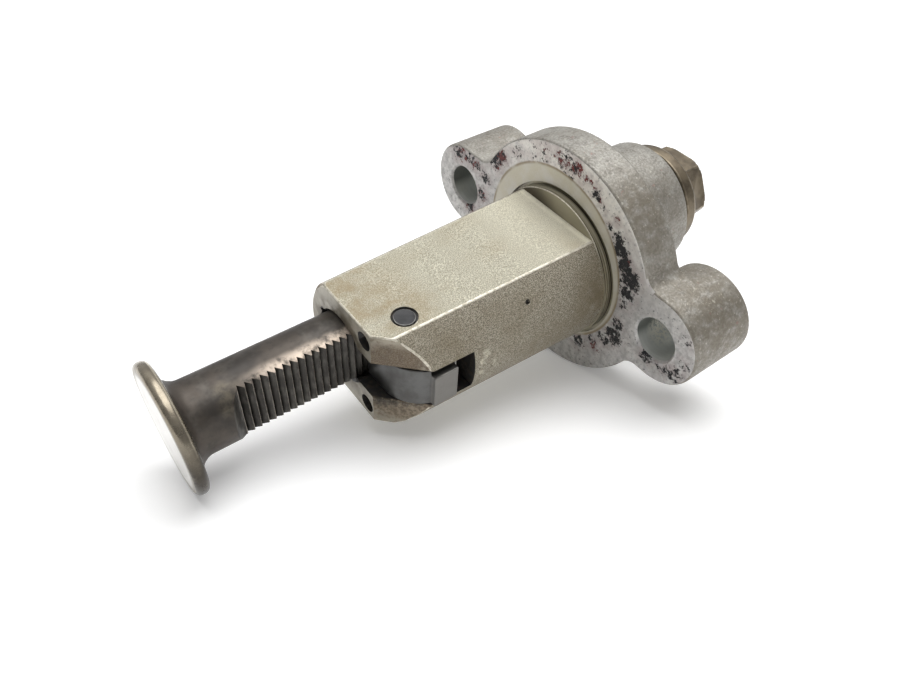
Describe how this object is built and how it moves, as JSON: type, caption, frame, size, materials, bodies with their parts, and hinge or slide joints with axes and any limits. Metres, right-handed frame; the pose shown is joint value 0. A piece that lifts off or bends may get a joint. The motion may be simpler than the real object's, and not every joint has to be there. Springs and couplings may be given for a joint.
{
  "type": "timing chain tensioner",
  "caption": "Ratchet timing chain tensioner: flanged cast housing, spring-loaded rack plunger with a round foot, and a one-way pawl that stops it sliding back.",
  "frame": {"origin": "in the plane of the flange's gasket face, midway between the two bolt holes", "axes": "+X along the plunger towards its foot, +Z square to the barrel's upper flat and along the pawl's pin, +Y towards the pawl's side along the line of the two lugs"},
  "size_m": [0.0904, 0.0568, 0.037],
  "materials": {
    "housing": "die-cast, matt, stained by oil and gasket residue",
    "plunger": "hardened, dark, worn bright at the foot",
    "ratchet_pawl": "smooth satin",
    "pawl_pivot_pin": "dark satin",
    "spring_wire": "drawn wire",
    "cap_bolt": "tarnished plating",
    "sealing_washer": "dull, dirty"
  },
  "bodies": {
    "housing": {"housing": "housing", "pawl_pivot_pin": "pawl_pivot_pin", "main_spring": "spring_wire", "cap_bolt": "cap_bolt", "sealing_washer": "sealing_washer"},
    "plunger": {"plunger": "plunger"},
    "pawl": {"ratchet_pawl": "ratchet_pawl", "pawl_spring": "spring_wire"}
  },
  "joints": [
    {"name": "plunger_slide", "type": "slide", "parent": "housing", "child": "plunger", "axis": [1, 0, 0], "range_m": [-0.016, 0], "stiffness_N_per_m": 400, "springref_m": 0.01, "deforming": ["main_spring"]},
    {"name": "pawl_pivot", "type": "hinge", "parent": "housing", "child": "pawl", "pos_m": [0.0303, 0.0053, 0], "axis": [0, 0, 1], "range_deg": [-9, 10], "stiffness_Nm_per_rad": 0.02}
  ]
}
